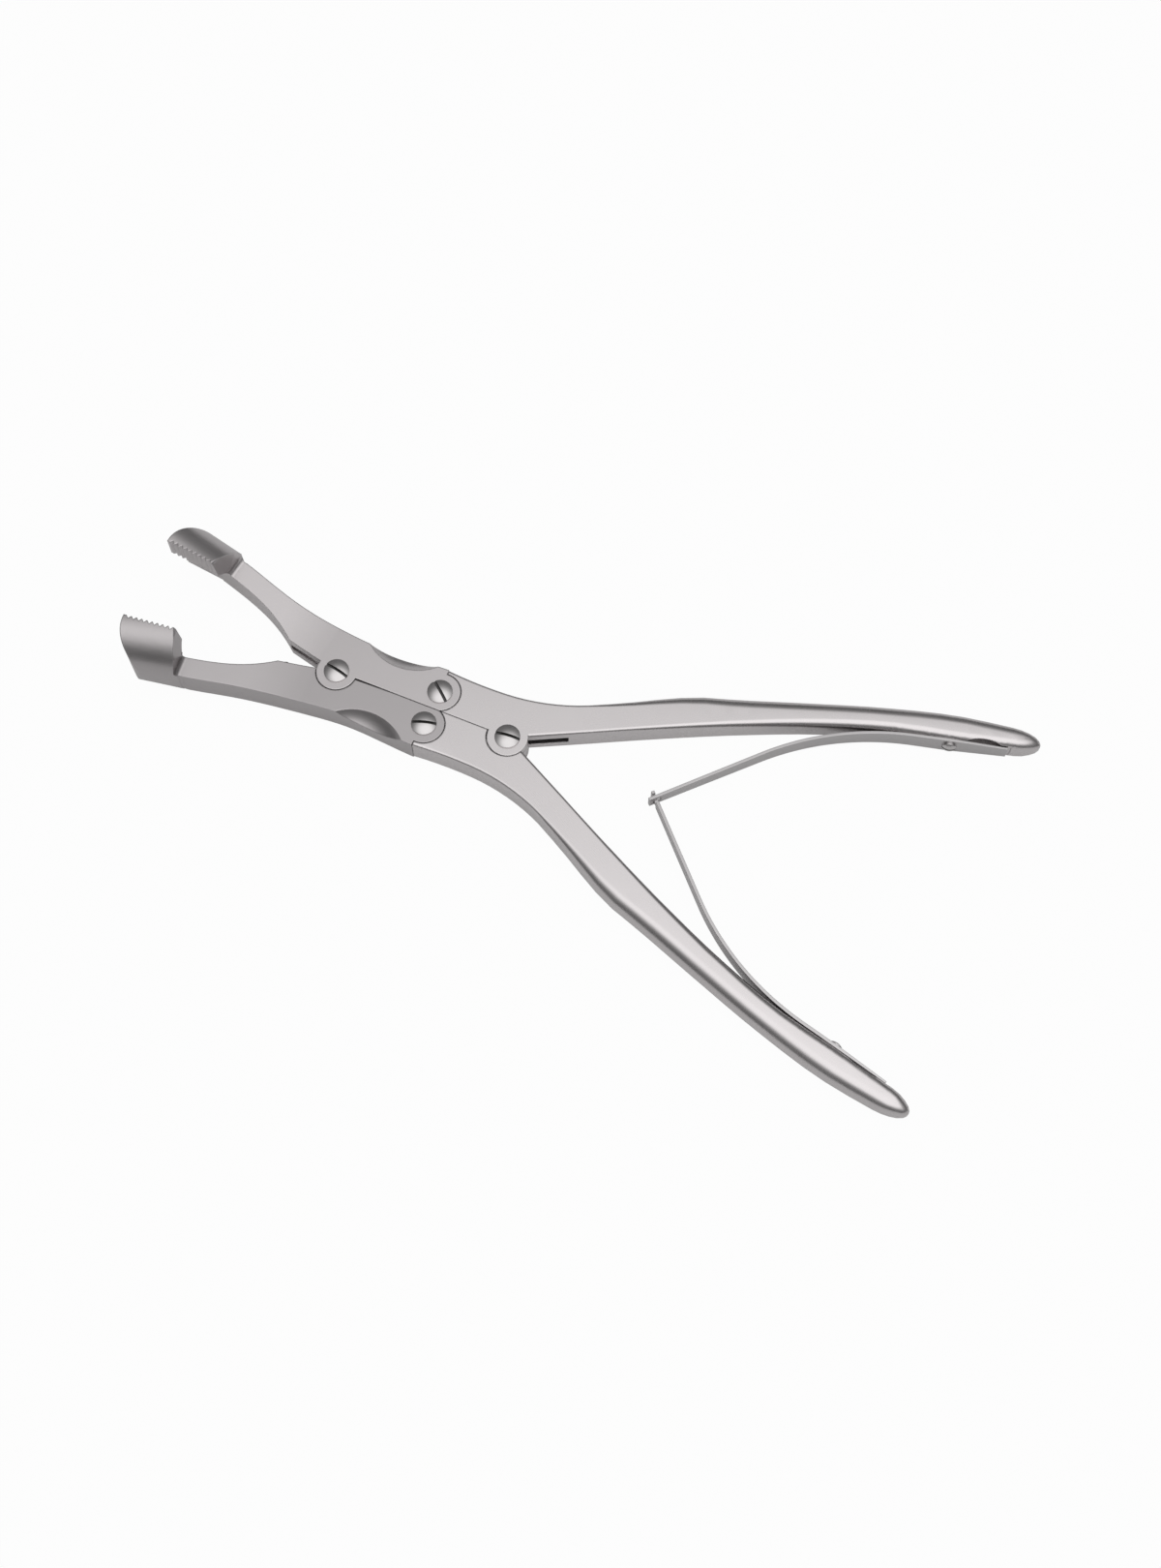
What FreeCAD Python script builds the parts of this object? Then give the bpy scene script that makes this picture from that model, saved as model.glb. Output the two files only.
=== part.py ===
import FreeCAD, Part
import Sketcher
import math
import os
from FreeCAD import Placement, Rotation, Vector

# Compound (double-action) molar forceps, lying flat and fully open.
# +X runs from the jaws to the grip ends, +Z is up, and the origin is on the axis of
# the handle pivot, in the plane that the handles lie on. Millimetres and degrees.
os.makedirs("parts", exist_ok=True)
doc = FreeCAD.newDocument("MolarForceps")

# Driving dimensions, one row of the sheet each.
SIZES = {
    "ear_thick": 2.6,
    "tongue_thick": 2.8,
    "side_gap": 0.1,
    "ear_radius": 6.0,
    "ear_clear": 0.2,
    "seam_gap": 0.1,
    "seam_relief": 0.4,
    "jaw_link": 31.2,
    "handle_link": 24.54,
    "half_spread": 5.58,
    "jaw_travel": 24.2,
    "edge_round": 0.8,
    "crotch_angle": 12.3,
    "crotch_reach": 17.6,
    "tongue_lead": 5.3,
    "slot_margin": 1.5,
    "arm_bend": 46.0,
    "arm_slope": 7.9,
    "arm_blend": 8.0,
    "tip_reach": 59.7,
    "tip_half_gap": 13.3,
    "beak_angle": 6.64,
    "beak_length": 17.5,
    "crest_length": 15.9,
    "heel_slant": 8.3,
    "outer_taper": 3.3,
    "shoulder_draw": 2.25,
    "foot_draw": 0.8,
    "beak_radius": 11.66,
    "beak_lean": 1.2,
    "crest_height": 22.6,
    "grip_height": 6.6,
    "beak_floor": 4.4,
    "beak_root": 4.4,
    "foot_radius": 1.2,
    "tooth_pitch": 1.61,
    "tooth_depth": 0.85,
    "tooth_count": 10,
    "flute_radius": 16.0,
    "flute_depth": 3.4,
    "screw_radius": 2.4,
    "thread_fit": 0.02,
    "pivot_clear": 0.05,
    "jaw_pivot_clear": 0.14,
    "head_radius": 3.7,
    "head_rim": 0.5,
    "head_rise": 1.4,
    "slot_width": 0.6,
    "slot_depth": 1.3,
    "grip_angle": 27.0,
    "grip_start": 24.0,
    "grip_end": 153.6,
    "fork_reach": 17.6,
    "recess_shift": 0.1,
    "leaf_thick": 0.9,
    "leaf_root_width": 6.4,
    "leaf_tip_width": 4.2,
    "leaf_screw_along": 127.52,
    "leaf_stand": 0.13,
    "leaf_toe": 1.36,
    "leaf_turn": 32.1,
    "leaf_bow_radius": 81.0,
    "leaf_vertex": 33.9,
    "leaf_tip_over": 2.5,
    "leaf_heel": 17.0,
    "leaf_hole_clear": 0.25,
    "leaf_seat_gap": 0.06,
    "leaf_window": 3.4,
    "leaf_neck": 1.7,
    "leaf_neck_clear": 0.25,
    "heel_hollow": 0.9,
    "spring_screw_radius": 1.25,
    "spring_head_radius": 2.1,
    "spring_head_rise": 1.1,
    "spring_screw_length": 4.5,
}

sheet = doc.addObject("Spreadsheet::Sheet", "Sizes")
for row, (alias, value) in enumerate(SIZES.items(), start=1):
    sheet.set(f"A{row}", alias)
    sheet.set(f"B{row}", str(value))
    sheet.setAlias(f"B{row}", alias)
doc.recompute()


def size(alias):
    return float(sheet.get(alias))


THICK_EXPR = "2 * Sizes.ear_thick + 2 * Sizes.side_gap + Sizes.tongue_thick"
thick = 2 * size("ear_thick") + 2 * size("side_gap") + size("tongue_thick")
through = 120.0

# Pivot centres in plan. The four pivots make a kite about the X axis.
link_x = -math.sqrt(size("handle_link") ** 2 - size("half_spread") ** 2)
jaw_x = link_x - math.sqrt(size("jaw_link") ** 2 - size("half_spread") ** 2)
HANDLE_PIVOT = Vector(0, 0, 0)
JAW_PIVOT = Vector(jaw_x, 0, 0)


def link_pivot(side):
    return Vector(link_x, side * size("half_spread"), 0)


def origin_plane(body, role):
    return next(f for f in body.Origin.OriginFeatures if f.Role == role)


def new_sketch(body, name, offset=None, height=None):
    """A sketch on the body's XY plane, moved by an offset or lifted by an expression."""
    sketch = body.newObject("Sketcher::SketchObject", name)
    sketch.AttachmentSupport = (origin_plane(body, "XY_Plane"), [""])
    sketch.MapMode = "FlatFace"
    if offset is not None:
        sketch.AttachmentOffset = offset
    if height is not None:
        sketch.setExpression("AttachmentOffset.Base.z", height)
    return sketch


def turned(origin, x_axis, y_axis):
    """Placement whose local axes are the two given ones and their cross product."""
    return Placement(origin, Rotation(x_axis, y_axis, x_axis.cross(y_axis), "ZXY"))


def outline(sketch, start, parts, flip=1):
    """Adds a closed outline; each part is a point, an arc (mid, end) or a curve [points]."""
    at = Vector(start[0], flip * start[1], 0)
    first = at
    for part in parts:
        if isinstance(part, list):
            points = [at] + [Vector(x, flip * y, 0) for x, y in part]
            curve = Part.BSplineCurve()
            curve.interpolate(points)
            sketch.addGeometry(curve)
            at = points[-1]
        elif isinstance(part[0], tuple):
            mid = Vector(part[0][0], flip * part[0][1], 0)
            end = Vector(part[1][0], flip * part[1][1], 0)
            sketch.addGeometry(Part.Arc(at, mid, end))
            at = end
        else:
            end = Vector(part[0], flip * part[1], 0)
            sketch.addGeometry(Part.LineSegment(at, end))
            at = end
    if (at - first).Length > 1e-6:
        sketch.addGeometry(Part.LineSegment(at, first))


def disc(sketch, centre, radius_expr, radius):
    index = sketch.addGeometry(Part.Circle(Vector(centre.x, centre.y, 0), Vector(0, 0, 1), radius))
    row = sketch.addConstraint(Sketcher.Constraint("Radius", index, radius))
    sketch.setExpression(f"Constraints[{row}]", radius_expr)


def extrude(body, kind, name, sketch, length, back=False, both=False):
    feature = body.newObject(f"PartDesign::{kind}", name)
    feature.Profile = sketch
    feature.Reversed = back
    if both:
        feature.SideType = "Symmetric"
    if isinstance(length, str):
        feature.setExpression("Length", length)
    else:
        feature.Length = length
    doc.recompute()
    return feature


def disc_feature(body, kind, name, centre, radius_expr, radius, height, length, flat_side=0):
    """A round pad or pocket; flat_side keeps only the part on that side of the seam."""
    sketch = new_sketch(body, name + "Sketch", height=height)
    if flat_side:
        seam = size("seam_gap") / 2
        drop = abs(centre.y) - seam
        half = math.sqrt(radius * radius - drop * drop)
        start = (centre.x - half, seam)
        top = (centre.x, abs(centre.y) + radius)
        outline(sketch, start, [(top, (centre.x + half, seam))], flat_side)
    else:
        disc(sketch, centre, radius_expr, radius)
    return extrude(body, kind, name, sketch, length)


def tangent_arc(before, corner, after, run):
    """Arc that rounds a corner, starting and ending at the given run from it."""
    b, c, a = (Vector(p[0], p[1], 0) for p in (before, corner, after))
    u, w = (b - c).normalize(), (a - c).normalize()
    half = (u.getAngle(w)) / 2
    radius = run * math.tan(half)
    middle = c + (u + w).normalize() * (run / math.cos(half) - radius)
    start, end = c + u * run, c + w * run
    return (start.x, start.y), (middle.x, middle.y), (end.x, end.y)


def polar(radius, degrees):
    return (radius * math.cos(math.radians(degrees)), radius * math.sin(math.radians(degrees)))


def round_edges(body, name, radius_expr, wanted):
    """Rounds the edges of the body that the test picks, after checking there are some."""
    base = body.Tip
    names = [f"Edge{n}" for n, edge in enumerate(base.Shape.Edges, start=1) if wanted(edge)]
    fillet = body.newObject("PartDesign::Fillet", name)
    fillet.Base = (base, names)
    fillet.setExpression("Radius", radius_expr)
    doc.recompute()
    return fillet


# Layers of the joint plate, from the underside up: ear, tongue, ear.
EAR_FLOOR = "Sizes.ear_thick + Sizes.side_gap"
TONGUE_ROOF = "Sizes.ear_thick + Sizes.side_gap + Sizes.tongue_thick"
SLOT_ROOF = "Sizes.ear_thick + 2 * Sizes.side_gap + Sizes.tongue_thick"
SLOT_DEPTH = "Sizes.tongue_thick + 2 * Sizes.side_gap"
RECESS_DEPTH = "Sizes.ear_thick + Sizes.side_gap"
RECESS_RADIUS = "Sizes.ear_radius + Sizes.ear_clear"
recess_radius = size("ear_radius") + size("ear_clear")


def make_fork(body, name, centre, flat_side=0):
    """Two ears round a pivot, and the round slot between them."""
    ear = size("ear_radius")
    args = (centre, "Sizes.ear_radius", ear)
    disc_feature(body, "Pad", name + "LowerEar", *args, None, "Sizes.ear_thick", flat_side)
    top = disc_feature(body, "Pad", name + "UpperEar", *args, SLOT_ROOF, "Sizes.ear_thick", flat_side)
    disc_feature(body, "Pocket", name + "Slot", centre, RECESS_RADIUS, recess_radius, SLOT_ROOF, SLOT_DEPTH)
    return top


def make_tongue(body, name, centre, flat_side=0, shift=0.0):
    """One tongue round a pivot, with a round recess above and below for the ears."""
    hollow = centre - Vector(shift, 0, 0)
    disc_feature(body, "Pocket", name + "UpperRecess", hollow, RECESS_RADIUS, recess_radius,
                 THICK_EXPR, RECESS_DEPTH)
    disc_feature(body, "Pocket", name + "LowerRecess", hollow, RECESS_RADIUS, recess_radius,
                 EAR_FLOOR, RECESS_DEPTH)
    sketch = new_sketch(body, name + "Sketch", height=EAR_FLOOR)
    ear = size("ear_radius")
    if flat_side:
        seam = size("seam_gap") / 2
        drop = abs(centre.y) - seam
        half = math.sqrt(ear * ear - drop * drop)
        top = (centre.x, abs(centre.y) + ear)
        outline(sketch, (centre.x - half, seam), [(top, (centre.x + half, seam))], flat_side)
    else:
        disc(sketch, centre, "Sizes.ear_radius", ear)
    extrude(body, "Pad", name, sketch, "Sizes.tongue_thick")


def bore(body, name, centre, fit):
    """Pivot hole right through the plate, wider than the screw by the named fit."""
    radius = size("screw_radius") + size(fit)
    expr = f"Sizes.screw_radius + Sizes.{fit}"
    sketch = new_sketch(body, name + "Sketch")
    disc(sketch, centre, expr, radius)
    extrude(body, "Pocket", name, sketch, through, both=True)


# Plan of a jaw's arm: share of the way from the crotch to the beak tip, distance outwards.
ARM_INNER = [(0.097, 6.75), (0.214, 9.6), (0.325, 11.6), (0.454, 13.4), (0.678, 15.9)]
ARM_OUTER = [(0.466, 20.0), (0.207, 16.9)]
ARM_FRONT = (0.678, 21.95)

# Outer edge of the joint plate, measured from the jaw pivot, and the end of the tail.
PLATE_OUTER = [(-14.5, 14.4), (-3.0, 12.8), (9.0, 11.9), (18.0, 12.3)]
TAIL_WIDTH = 13.1
TAIL_STEP = 0.5
FLUTE_PLACE = (15.5, 24.2)


def arm_point(share, out):
    start = -size("crotch_reach") * math.cos(math.radians(size("crotch_angle")))
    return (start - share * (size("tip_reach") + start), out)


def make_jaw(name, side, forked):
    """One jaw: beak, rising arm, joint plate and forked tail. side is +1 or -1."""
    body = doc.addObject("PartDesign::Body", name)
    body.Label = name
    link = link_pivot(side)
    seam = size("seam_gap") / 2
    relief = size("seam_relief") if side < 0 else 0.0
    crotch = polar(size("crotch_reach"), 180 - size("crotch_angle"))
    tail_x = link.x - jaw_x - TAIL_STEP
    plan = Placement(JAW_PIVOT, Rotation())

    # Arm and joint plate, taller than needed; the side profile trims it below.
    sketch = new_sketch(body, "PlanSketch", plan)
    outline(sketch, (0, seam), [
        crotch,
        [arm_point(*place) for place in ARM_INNER],
        arm_point(*ARM_FRONT),
        [arm_point(*place) for place in ARM_OUTER] + PLATE_OUTER + [(tail_x, TAIL_WIDTH)],
        (tail_x, seam),
        (tail_x - 11.0, seam),
        (size("ear_radius") - 1.0, seam + relief),
    ], side)
    extrude(body, "Pad", "Plate", sketch, thick + 6.0)

    # Beak section, swept straight along the gripping face from the tip.
    lean = math.radians(size("beak_angle"))
    along = Vector(math.cos(lean), -side * math.sin(lean), 0)
    out = Vector(math.sin(lean), side * math.cos(lean), 0)
    up = Vector(0, 0, 1)
    tip = JAW_PIVOT + Vector(-size("tip_reach"), side * size("tip_half_gap"), 0)
    crest, floor, root = size("crest_height"), size("beak_floor"), size("beak_root")
    radius, lean_out = size("beak_radius"), size("beak_lean")
    centre_z = crest - math.sqrt(radius ** 2 - lean_out ** 2)
    lip = crest - size("grip_height")
    foot_out = lean_out + math.sqrt(radius ** 2 - (centre_z - floor) ** 2)
    mid_z = (crest + centre_z) / 2
    mid_out = lean_out + math.sqrt(radius ** 2 - (mid_z - centre_z) ** 2)
    foot = size("foot_radius")
    beak_end = size("beak_length") + foot - 0.4

    def beak_section(label, reach, shoulder, foot_edge):
        place = turned(tip + along * reach, out, up)
        section = new_sketch(body, label, place)
        outline(section, (0, crest), [
            ((shoulder, mid_z), (foot_edge, floor)),
            (root, floor),
            (root, lip - 6.4),
            ((root - 1.1, lip - 2.6), (0, lip)),
        ])
        return section

    # The bulge draws in towards the heel, more at its shoulder than at its foot.
    beak = body.newObject("PartDesign::AdditiveLoft", "Beak")
    beak.Profile = beak_section("TipSection", 0.0, mid_out, foot_out)
    beak.Sections = [beak_section("HeelSection", beak_end, mid_out - size("shoulder_draw"),
                                  foot_out - size("foot_draw"))]
    beak.Ruled = True
    doc.recompute()

    # Side profile: flat plate, arm rising to the beak, foot curve and rounded heel.
    slope = math.tan(math.radians(size("arm_slope")))
    bend, blend = size("arm_bend"), size("arm_blend")
    heel = size("beak_length")
    side_view = turned(tip, along, up)

    def arm_top(s):
        return thick + (bend - s) * slope

    start, middle, end = tangent_arc((bend + 30, thick), (bend, thick), (0, arm_top(0)), blend)
    foot_s = heel + foot
    top = new_sketch(body, "TopProfile", side_view)
    outline(top, (through, thick), [
        start,
        (middle, end),
        (foot_s, arm_top(foot_s)),
        ((heel + 0.35 * foot, arm_top(foot_s) + 0.33 * foot), (heel, arm_top(heel) + 1.4 * foot)),
        (heel, crest - 2.0),
        ((heel - 0.4, crest - 0.7), (heel - 1.3, crest + 0.1)),
        (heel - 1.3, crest + 5.0),
        (through, crest + 5.0),
    ])
    extrude(body, "Pocket", "TopTrim", top, 2 * through, both=True)

    # Slanted facet of the heel: the crest is shorter at the gripping face than outside.
    slant = math.radians(size("heel_slant"))
    slanted = along * math.cos(slant) - out * math.sin(slant)
    crest_s = size("crest_length") * math.cos(slant)
    root_s = heel * math.cos(slant) - root * math.sin(slant)
    facet = new_sketch(body, "HeelFacet", turned(tip, slanted, up))
    outline(facet, (crest_s - 0.8, crest + 5.0), [
        (crest_s - 0.8, crest + 0.05),
        ((crest_s - 0.2, crest - 0.5), (crest_s + 0.1, crest - 1.6)),
        (root_s, arm_top(heel) + 1.4 * foot),
        (heel + 6.0, arm_top(heel) + 1.4 * foot),
        (heel + 6.0, crest + 5.0),
    ])
    extrude(body, "Pocket", "HeelTrim", facet, 2 * through, both=True)
    start, middle, end = tangent_arc((bend + 30, 0), (bend, 0), (0, bend * slope), blend)
    floor_s = bend - floor / slope
    low = new_sketch(body, "LowProfile", side_view)
    outline(low, start, [
        (middle, end),
        (floor_s, floor),
        (-5.0, floor),
        (-5.0, -5.0),
        (start[0], -5.0),
    ])
    extrude(body, "Pocket", "LowTrim", low, 2 * through, both=True)

    # Plan of the beak: round tip, fullest past the middle, then narrowing into the arm.
    beak_plan = turned(tip, along, side * out)
    wide = lean_out + radius
    full, narrow = 0.54 * heel, wide - size("outer_taper")
    outer = new_sketch(body, "BeakPlan", beak_plan)
    outline(outer, (0, 1.2), [
        ((0.16 * heel, 0.69 * wide), (full, wide + 0.02)),
        ((0.82 * heel, wide - 0.24 * size("outer_taper")), (foot_s, narrow)),
        (foot_s + 4.0, narrow),
        (foot_s + 4.0, wide + 4.0),
        (-3.0, wide + 4.0),
        (-3.0, 1.2),
    ], side)
    extrude(body, "Pocket", "BeakRound", outer, 2 * through, both=True)

    # Serrations: upright V grooves across the gripping face.
    groove = new_sketch(body, "GrooveSketch", Placement(tip + up * (crest + 1), beak_plan.Rotation))
    pitch, depth = size("tooth_pitch"), size("tooth_depth")
    first = pitch
    outline(groove, (first - 0.42 * pitch, -0.2), [
        (first - 0.42 * pitch, 0),
        (first, depth),
        (first + 0.42 * pitch, 0),
        (first + 0.42 * pitch, -0.2),
    ], side)
    cut = extrude(body, "Pocket", "Groove", groove, size("grip_height") + 2.0)
    teeth = body.newObject("PartDesign::LinearPattern", "Grooves")
    teeth.Originals = [cut]
    teeth.Direction = (groove, ["H_Axis"])
    count = int(size("tooth_count")) - 1
    teeth.Mode = "Spacing"
    teeth.Offset = pitch
    teeth.Occurrences = count
    body.Tip = teeth
    doc.recompute()

    # Pivots: fork or tongue at the jaw pivot, always a fork at the tail.
    if forked:
        make_fork(body, "JawFork", JAW_PIVOT)
        slot_angle = size("jaw_travel") - size("crotch_angle") + size("tongue_lead") + size("slot_margin")
        reach = size("crotch_reach") + 0.3
        slot = new_sketch(body, "WebSlotSketch", plan)
        slot.setExpression("AttachmentOffset.Base.z", SLOT_ROOF)
        outline(slot, (0, 0), [
            polar(reach, 180 - slot_angle),
            (polar(reach, 180), polar(reach, 180 + slot_angle)),
        ], side)
        extrude(body, "Pocket", "WebSlot", slot, SLOT_DEPTH)
    else:
        make_tongue(body, "JawTongue", JAW_PIVOT)
        lead = 180 - size("crotch_angle") + size("tongue_lead")
        web = new_sketch(body, "WebSketch", plan)
        web.setExpression("AttachmentOffset.Base.z", EAR_FLOOR)
        outline(web, (0, 0), [
            polar(0.86 * size("crotch_reach"), lead),
            (polar(0.97 * size("crotch_reach"), lead - 1.4), crotch),
            polar(size("crotch_reach"), 180 - size("crotch_angle") - 2.0),
        ], side)
        extrude(body, "Pad", "Web", web, "Sizes.tongue_thick")
    make_fork(body, "TailFork", link, side)
    bore(body, "JawBore", JAW_PIVOT, "thread_fit" if forked else "jaw_pivot_clear")
    bore(body, "TailBore", link, "thread_fit")

    # Hollow ground into the top outer edge of the tail.
    axis_at = JAW_PIVOT + Vector(FLUTE_PLACE[0], side * FLUTE_PLACE[1], 0)
    rim, deep = size("flute_radius"), size("flute_depth")
    dish = new_sketch(body, "FluteSketch", turned(axis_at, Vector(0, -side, 0), up))
    outline(dish, (2.0, thick + 1), [
        (rim, thick + 1),
        (rim, thick),
        ((rim - 1.9, thick - 0.56 * deep), (rim - 4.7, thick - deep)),
        (2.0, thick - deep),
    ])
    flute = body.newObject("PartDesign::Groove", "Flute")
    flute.Profile = dish
    flute.ReferenceAxis = (dish, ["V_Axis"])
    flute.Angle = 360
    doc.recompute()
    return body


# Grip stations along the inner face line of a handle, from the joint plate to the end:
# distance along, inner edge, outer edge, inner rounding, outer rounding.
GRIP_STATIONS = [
    (24.0, -0.36, 8.65, 0.8, 0.8),
    (35.0, -0.33, 9.05, 0.9, 1.8),
    (46.0, -0.45, 9.85, 1.1, 2.8),
    (56.0, -0.65, 10.10, 1.3, 3.7),
    (68.0, -1.10, 8.45, 1.6, 4.0),
    (88.0, -2.40, 5.95, 2.0, 4.0),
    (110.0, -5.30, 2.90, 2.4, 4.0),
    (132.0, -10.60, -1.50, 2.5, 4.0),
    (154.0, -15.40, -9.00, 2.5, 4.0),
]
BAR_STEPS = 18
NOSE_STEPS = 5
NOSE_LENGTH = 7.5
HANDLE_OUTER = [((-15.0, 12.6), (-6.0, 12.75)), ((6.0, 14.55), None)]
FRONT_STEP = 0.3


def grip_section(along):
    """Inner and outer edge, both roundings and height of the grip at a distance along it."""
    rows = GRIP_STATIONS
    i = max(n for n in range(len(rows) - 1) if n == 0 or rows[n][0] <= along)
    low, high = rows[i], rows[i + 1]
    before, after = rows[max(i - 1, 0)], rows[min(i + 2, len(rows) - 1)]
    step = high[0] - low[0]
    t = (along - low[0]) / step
    values = []
    for column in range(1, 5):
        slope_low = step * (high[column] - before[column]) / (high[0] - before[0])
        slope_high = step * (after[column] - low[column]) / (after[0] - low[0])
        values.append(
            (2 * t ** 3 - 3 * t ** 2 + 1) * low[column]
            + (t ** 3 - 2 * t ** 2 + t) * slope_low
            + (3 * t ** 2 - 2 * t ** 3) * high[column]
            + (t ** 3 - t ** 2) * slope_high
        )
    inner, outer, r_in, r_out = values
    into_nose = max(0.0, 1 - (size("grip_end") - along) / NOSE_LENGTH)
    shrink = math.sqrt(1 - into_nose ** 2)
    middle, half = (inner + outer) / 2, (outer - inner) / 2 * shrink
    tall = thick * shrink ** 0.7
    limit = 0.49 * min(tall, 2 * half)
    return middle - half, middle + half, min(r_in, limit), min(r_out, limit), tall


def grip_stops():
    """Distances along the grip of its sections: even on the bar, closer in the nose."""
    start = size("grip_start")
    nose = size("grip_end") - NOSE_LENGTH
    depth = NOSE_LENGTH - 0.06
    bar = [start + (nose - start) * n / BAR_STEPS for n in range(BAR_STEPS)]
    return bar + [nose + depth * math.sin(n / NOSE_STEPS * math.pi / 2) for n in range(NOSE_STEPS + 1)]


def grip_point(side, along, out):
    """Plan point at a distance along the grip line and out from it."""
    turn = math.radians(size("grip_angle"))
    x = along * math.cos(turn) - out * math.sin(turn)
    y = along * math.sin(turn) + out * math.cos(turn)
    return Vector(x, side * y, 0)


def make_handle(name, side, forked):
    """One handle: tongued front, joint plate and rounded grip. side is +1 or -1."""
    body = doc.addObject("PartDesign::Body", name)
    body.Label = name
    link = link_pivot(side)
    seam = size("seam_gap") / 2
    front = link.x - FRONT_STEP
    along = size("grip_start")
    inner, outer = grip_section(along)[:2]
    end_in, end_out = grip_point(1, along, inner), grip_point(1, along, outer)
    start_in = grip_point(1, 1.0, inner)

    sketch = new_sketch(body, "PlanSketch")
    outline(sketch, (front, TAIL_WIDTH), [
        HANDLE_OUTER[0],
        (HANDLE_OUTER[1][0], (end_out.x, end_out.y)),
        (end_in.x, end_in.y),
        (start_in.x, start_in.y),
        (start_in.x, seam),
        (front, seam),
    ], side)
    extrude(body, "Pad", "Plate", sketch, THICK_EXPR)

    def long_side(edge):
        middle = edge.valueAt((edge.FirstParameter + edge.LastParameter) / 2)
        flat = abs(edge.Vertexes[0].Z - edge.Vertexes[-1].Z) < 1e-6
        on_outer = abs(middle.y) > 11.5 and edge.Length > 20
        reach = Vector(middle.x, middle.y, 0).Length
        on_inner = 5 < reach < 16 and middle.x > 0 and edge.Length > 15 and abs(middle.y) < 8
        return flat and (on_outer or on_inner)

    round_edges(body, "PlateRounds", "Sizes.edge_round", long_side)

    # Pivots.
    if forked:
        make_fork(body, "PivotFork", HANDLE_PIVOT)
        reach, deep = size("fork_reach"), recess_radius
        turn = side * size("grip_angle")
        slot = new_sketch(body, "WebSlotSketch", Placement(Vector(), Rotation(Vector(0, 0, 1), turn)))
        slot.setExpression("AttachmentOffset.Base.z", SLOT_ROOF)
        knee = math.sqrt(reach ** 2 - deep ** 2)
        outline(slot, (0, -3.0), [
            (math.sqrt(reach ** 2 - 9.0), -3.0),
            ((reach, 0), (knee, deep)),
            (0, deep),
        ], side)
        extrude(body, "Pocket", "WebSlot", slot, SLOT_DEPTH)
    else:
        make_tongue(body, "PivotTongue", HANDLE_PIVOT, shift=size("recess_shift"))
    make_tongue(body, "LinkTongue", link, side)
    bore(body, "PivotBore", HANDLE_PIVOT, "thread_fit" if forked else "pivot_clear")
    bore(body, "LinkBore", link, "pivot_clear")

    # Grip: a loft through rounded sections square to the grip line.
    out = grip_point(side, 0, 1)
    sections = []
    for number, along in enumerate(grip_stops()):
        inner, outer, r_in, r_out, tall = grip_section(along)
        centre = grip_point(side, along, 0) + Vector(0, 0, thick / 2)
        sketch = new_sketch(body, f"Section{number}", turned(centre, out, Vector(0, 0, 1)))
        half = tall / 2
        k = 1 - math.sqrt(0.5)
        outline(sketch, (inner + r_in, -half), [
            (outer - r_out, -half),
            ((outer - k * r_out, -half + k * r_out), (outer, -half + r_out)),
            (outer, half - r_out),
            ((outer - k * r_out, half - k * r_out), (outer - r_out, half)),
            (inner + r_in, half),
            ((inner + k * r_in, half - k * r_in), (inner, half - r_in)),
            (inner, -half + r_in),
            ((inner + k * r_in, -half + k * r_in), (inner + r_in, -half)),
        ])
        sections.append(sketch)
    grip = body.newObject("PartDesign::AdditiveLoft", "Grip")
    grip.Profile = sections[0]
    grip.Sections = sections[1:]
    grip.Ruled = True
    doc.recompute()

    # Flat seat of the leaf spring, the hollow behind it and the hole of its screw.
    seat = leaf_frame(side)
    step = size("leaf_thick") / 2 + size("leaf_seat_gap")
    flat = new_sketch(body, "SeatSketch", seat)
    outline(flat, (14.0, -step), [
        (-size("leaf_heel") - 0.4, -step),
        (-size("leaf_heel") - 0.4, 4.0),
        (14.0, 4.0),
    ])
    extrude(body, "Pocket", "SpringSeat", flat, through, both=True)
    hollow = new_sketch(body, "HollowSketch", seat)
    near, far = -4.5, -size("leaf_heel") + 2.5
    outline(hollow, (near, -step), [
        (((near + far) / 2, -step - size("heel_hollow")), (far, -step)),
        (far, 2.0),
        (near, 2.0),
    ])
    extrude(body, "Pocket", "HeelHollow", hollow, through, both=True)
    hole = new_sketch(body, "SpringHoleSketch", leaf_face(side))
    disc(hole, Vector(), "Sizes.spring_screw_radius + Sizes.thread_fit",
         size("spring_screw_radius") + size("thread_fit"))
    extrude(body, "Pocket", "SpringHole", hole, 2 * (size("spring_screw_length") + 0.4), both=True)

    return body


def leaf_root(side):
    """Plan place of a leaf's screw, and the angle between the leaf there and the X axis."""
    along, step = size("leaf_screw_along"), 2.0
    rise = grip_section(along + step)[0] - grip_section(along - step)[0]
    angle = math.radians(size("grip_angle") + size("leaf_toe")) + math.atan2(rise, 2 * step)
    return grip_point(side, along, grip_section(along)[0] - size("leaf_stand")), angle


def leaf_frame(side):
    """Axes of a leaf at its screw: x to the tip, y away from the handle, middle height."""
    place, turn = leaf_root(side)
    x_axis = Vector(-math.cos(turn), -side * math.sin(turn), 0)
    y_axis = Vector(math.sin(turn), -side * math.cos(turn), 0)
    return turned(place + Vector(0, 0, thick / 2), x_axis, y_axis)


def leaf_face(side):
    """Plane of the leaf's middle layer, for holes that run square through the leaf."""
    frame = leaf_frame(side)
    x_axis = frame.Rotation.multVec(Vector(1, 0, 0))
    z_axis = frame.Rotation.multVec(Vector(0, 0, 1))
    return turned(frame.Base, x_axis, z_axis)


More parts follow.
